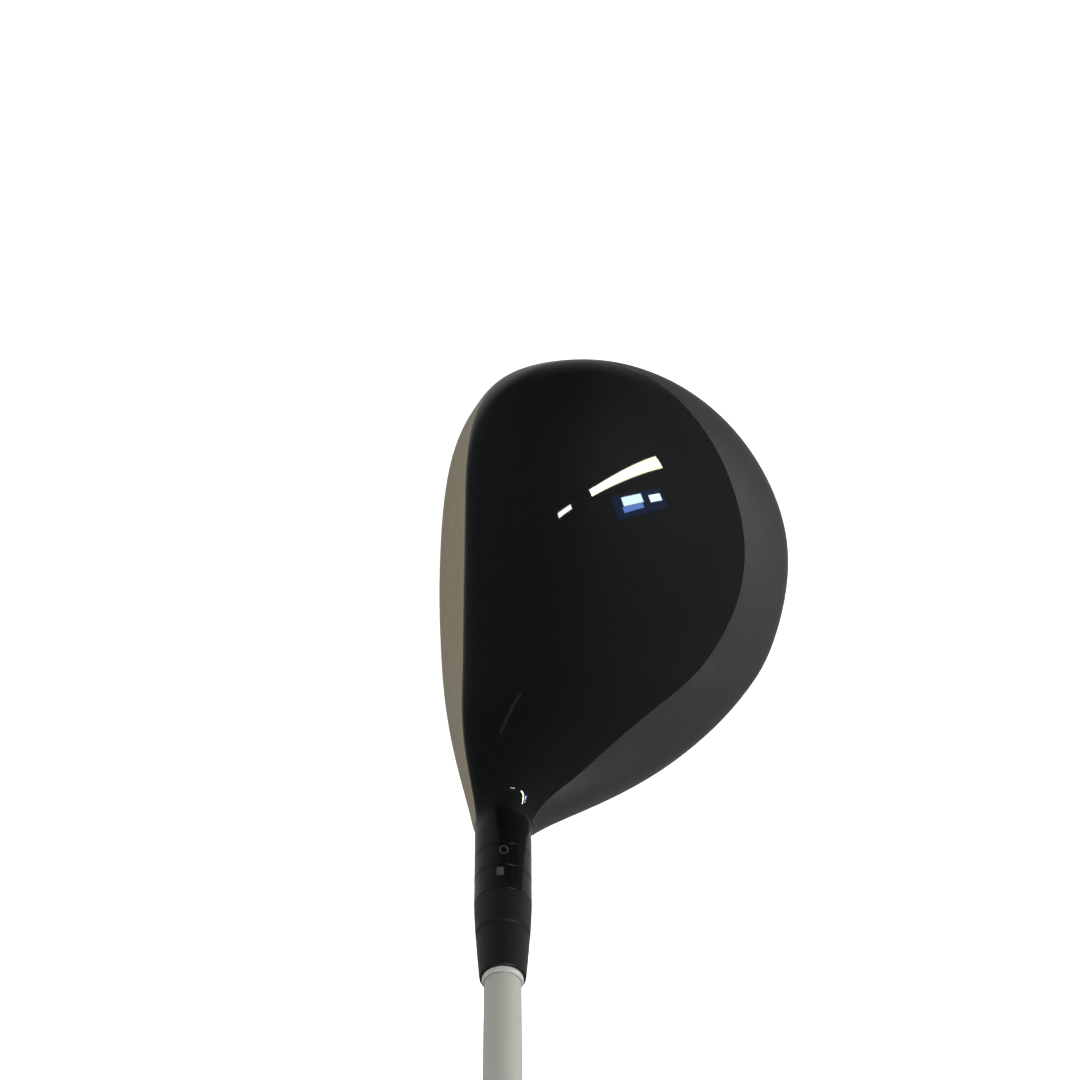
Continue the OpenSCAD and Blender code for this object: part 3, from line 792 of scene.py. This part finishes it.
def grip():
    """Moulded rubber with short grooves in offset rows, and a plain collar at each end."""
    heights, radii = node_profile("grip")
    outside = radii > np.array([shaft_radius(m) for m in heights]) + 0.8
    heights, radii = heights[outside], radii[outside]
    low, high = heights[0], heights[-1]
    pitch, groove, depth, sides = 5.2, 1.1, 0.4, 112
    rows = [low + 0.35, low + 0.8, low + 3.0, low + 7.0]
    kinds = [0] * len(rows)
    count = int((high - low - 22) / pitch)
    for k in range(count):
        at = low + 10 + k * pitch
        if k % 12 != 11:
            rows += [at - groove / 2, at - groove / 4, at + groove / 4, at + groove / 2]
            kinds += [0, 1 + k % 2, 1 + k % 2, 0]
    rows += [high - 6.0, high - 1.0, high - 0.2]
    kinds += [0, 0, 0]
    angles = np.arange(sides) * 2 * math.pi / sides
    points = []
    for a_index, a in enumerate(angles):
        for at, kind in zip(rows, kinds):
            r = float(np.interp(at, heights, radii)) - (0.5 if at < low + 0.5 else 0)
            phase = (a_index + (7 if kind == 2 else 0)) % 14
            if kind and 2 <= phase <= 12:
                r -= depth
            points.append((r * math.cos(a), r * math.sin(a), at))
        for at in (high, low):
            r = shaft_radius(at) + TAPE_GAP
            points.append((r * math.cos(a), r * math.sin(a), at))
    faces = looped(sides, len(rows) + 2)
    return piece("grip_sleeve", on_shaft(np.array(points)), faces, "shaft_assembly",
                 grip_rubber, ["grip"], sharp=30)


def grip_end():
    """The cap, with a rounded shoulder, a shallow ring groove in its end and the vent hole."""
    heights = node_profile("grip_cap")[0]
    low, high = heights[0], heights[-1]
    vent, rim = 2.0, 13.6
    outline = [(vent, low), (rim - 0.4, low), (rim, low + 1.4)]
    outline += [(rim - 2.4 + 2.4 * math.cos(a), low + 1.6 + 2.3 * math.sin(a))
                for a in np.linspace(0.1, 1.45, 8)]
    outline += [(9.2, high), (8.8, high - 0.45), (7.4, high - 0.45), (7.0, high), (vent, high)]
    return ring_piece("grip_end_cap", outline, grip_rubber, "grip_cap", ease=0.15)


grip()
grip_end()


# ---------- the sole weight ----------
def sole_weight():
    """A chamfered steel disc with a six-lobed socket, on a threaded stem."""
    disc_r, low, high, stem_r, stem_top = 7.9, 0.6, 2.7, 2.45, 8.8
    sides, lobes = 96, 6
    angles = np.arange(sides) * 2 * math.pi / sides
    socket = 1.75 + 0.32 * np.cos(lobes * angles)
    round_rings = [(5.2, low), (5.45, low + 0.22), (5.9, low + 0.22), (6.15, low),
                   (disc_r - 0.35, low), (disc_r, low + 0.35), (disc_r, high - 0.15), (disc_r - 0.15, high),
                   (stem_r, high), (stem_r, stem_top - 0.4), (stem_r - 0.4, stem_top), (0, stem_top)]
    rings = [(0 * angles, low + 1.6), (socket, low + 1.6), (socket, low + 0.12), (socket + 0.12, low)]
    rings += [(0 * angles + r, h) for r, h in round_rings]
    points = [(0, 0, rings[0][1])]
    for r, h in rings[1:-1]:
        points += [(ri * math.cos(a), ri * math.sin(a), h) for ri, a in zip(r, angles)]
    points.append((0, 0, rings[-1][1]))
    tail = len(points) - 1
    faces = [(0, 1 + k, 1 + (k + 1) % sides) for k in range(sides)]
    for ring in range(len(rings) - 3):
        base = 1 + ring * sides
        faces += [(base + k, base + sides + k, base + sides + (k + 1) % sides, base + (k + 1) % sides)
                  for k in range(sides)]
    base = 1 + (len(rings) - 3) * sides
    faces += [(tail, base + (k + 1) % sides, base + k) for k in range(sides)]
    return piece("sole_weight_disc", on_weight(np.array(points)), faces, "sole_weight",
                 machined_steel, ["weight"], sharp=35)


sole_weight()

# ---------- the studio ----------
scene = bpy.context.scene
scene.view_settings.view_transform = "Standard"


def floor():
    """A wide pale floor, in metres, that sweeps up into a wall far behind the club."""
    flat, sweep, wall, sides = 12.0, 8.0, 20.0, 96
    profile = [(0.5, 0.0), (flat, 0.0)]
    profile += [(flat + sweep * math.sin(a), sweep * (1 - math.cos(a)))
                for a in np.linspace(0.1, math.pi / 2, 14)]
    profile.append((flat + sweep, wall))
    angles = np.arange(sides) * 2 * math.pi / sides
    points = [(r * math.cos(a), r * math.sin(a), z) for r, z in profile for a in angles]
    faces = [tuple(range(sides))]
    faces += [(b + k, b + sides + k, b + sides + (k + 1) % sides, b + (k + 1) % sides)
              for b in range(0, sides * (len(profile) - 1), sides) for k in range(sides)]
    mesh = bpy.data.meshes.new("floor")
    mesh.from_pydata(points, [], faces)
    for polygon in mesh.polygons:
        polygon.use_smooth = True
    obj = bpy.data.objects.new("floor", mesh)
    scene.collection.objects.link(obj)
    f = Finish("floor_paper", (0.88, 0.88, 0.875), 0.85, 0.0, Specular_IOR_Level=0.2,
               Emission_Color=(1.0, 1.0, 0.99, 1.0), Emission_Strength=0.6)
    f.vary_color(f.noise(60, 3), 0.006)
    obj.data.materials.append(f.material)
    obj.visible_glossy = False


def surround():
    """A dim room round the club, lighter to the front and back and towards the ground."""
    world = bpy.data.worlds.new("studio")
    scene.world = world
    world.use_nodes = True
    nodes, links = world.node_tree.nodes, world.node_tree.links
    split = nodes.new("ShaderNodeSeparateXYZ")
    links.new(nodes.new("ShaderNodeTexCoord").outputs["Generated"], split.inputs["Vector"])

    def level(axis, start, end, low, high):
        return map_range(nodes, links, split.outputs[axis], start, end, low, high)

    def added(a, b):
        m = nodes.new("ShaderNodeMath")
        links.new(a, m.inputs[0])
        links.new(b, m.inputs[1])
        return m.outputs["Value"]

    sides = added(level("X", 0.1, 1.0, 0.05, 0.24), level("X", -0.1, -1.0, 0.0, 0.14))
    light = added(sides, level("Z", -0.1, -1.0, 0.0, 0.24))
    tinted = nodes.new("ShaderNodeVectorMath")
    tinted.operation = "SCALE"
    tinted.inputs[0].default_value = (0.97, 1.0, 1.01)
    links.new(light, tinted.inputs["Scale"])
    links.new(tinted.outputs["Vector"], nodes["Background"].inputs["Color"])


HEAD = (0.01, 0.0, 0.035)


def lamp(name, centre, size, power, color=(1, 1, 1), along=(1, 0, 0), aim=HEAD, gloss_only=True):
    """A rectangular lamp that faces a point, its length lying along a direction.

    It shows in glossy surfaces only, or it lights without showing in them.
    """
    light = bpy.data.lights.new(name, "AREA")
    light.shape, light.size, light.size_y = "RECTANGLE", *size
    light.energy, light.color = power, color
    obj = bpy.data.objects.new(name, light)
    scene.collection.objects.link(obj)
    away = (Vector(centre) - Vector(aim)).normalized()
    side = (Vector(along) - away * Vector(along).dot(away)).normalized()
    turn = Matrix((side, away.cross(side), away)).transposed()
    obj.matrix_world = Matrix.Translation(centre) @ turn.to_4x4()
    obj.visible_camera = False
    obj.visible_glossy = gloss_only
    obj.visible_diffuse = not gloss_only
    return obj


def camera():
    """Above the head, tipped a little towards the toe, the way a golfer looks down."""
    target = np.array([0.0, 0.0, 18.0])
    tip = math.radians(4.6)
    distance = 518.0
    eye = target + distance * np.array([0.0, math.sin(tip), math.cos(tip)]) + np.array([-7.8, 0, 0])
    forward = unit(target - eye)
    right = unit(np.cross(forward, [0, 1, 0]))
    up = np.cross(right, forward)
    cam = bpy.data.cameras.new("camera")
    cam.sensor_width = 36.0
    cam.lens = 66.67
    cam.clip_start, cam.clip_end = 0.01, 50
    obj = bpy.data.objects.new("camera", cam)
    scene.collection.objects.link(obj)
    turn = Matrix([[right[i], up[i], -forward[i]] for i in range(3)])
    obj.matrix_world = Matrix.Translation(Vector(eye * MM)) @ turn.to_4x4()
    scene.camera = obj


floor()
surround()
# The lamps' places and sizes are in metres
TUBE_END, TUBE_HEIGHT = np.array([0.39, 0.17]), 1.84
DAYLIGHT, WINDOW_ALONG = (0.72, 0.95, 1.0), (0.48, 0.14, 0)
TUBE_LENGTH, TUBE_HEADING, TUBE_SPREAD = 1.10, math.radians(25.5), math.radians(1.5)
for side in (-1, 0, 1):
    heading = TUBE_HEADING + side * TUBE_SPREAD
    along = np.array([math.cos(heading), math.sin(heading)])
    middle = TUBE_END + along * TUBE_LENGTH / 2
    lamp("ceiling_tube_%d" % (side + 2), (*middle, TUBE_HEIGHT), (TUBE_LENGTH, 0.05), 4.9,
         (1.0, 0.98, 0.72), along=(*along, 0))
for name, centre, size, power, color in (
        ("window_left", (0.715, 0.160, 1.50), (0.21, 0.055), 0.95, DAYLIGHT),
        ("window_right", (1.00, 0.225, 1.50), (0.14, 0.05), 0.7, DAYLIGHT),
        ("window_sill", (0.712, 0.110, 1.50), (0.21, 0.035), 0.30, (0.2, 0.37, 1.0)),
        ("window_glow", (0.83, 0.160, 1.56), (0.58, 0.15), 0.2, (0.03, 0.2, 1.0))):
    lamp(name, centre, size, power, color, along=WINDOW_ALONG)
lamp("small_lamp", (0.116, 0.037, TUBE_HEIGHT), (0.14, 0.028), 0.33, (1.0, 0.99, 0.95),
     along=(0.91, 0.41, 0))
lamp("fill_above", (0.0, 0.2, 2.6), (3.0, 3.0), 30, gloss_only=False)
lamp("fill_side", (1.7, 0.1, 0.7), (1.2, 1.2), 38, gloss_only=False)
camera()
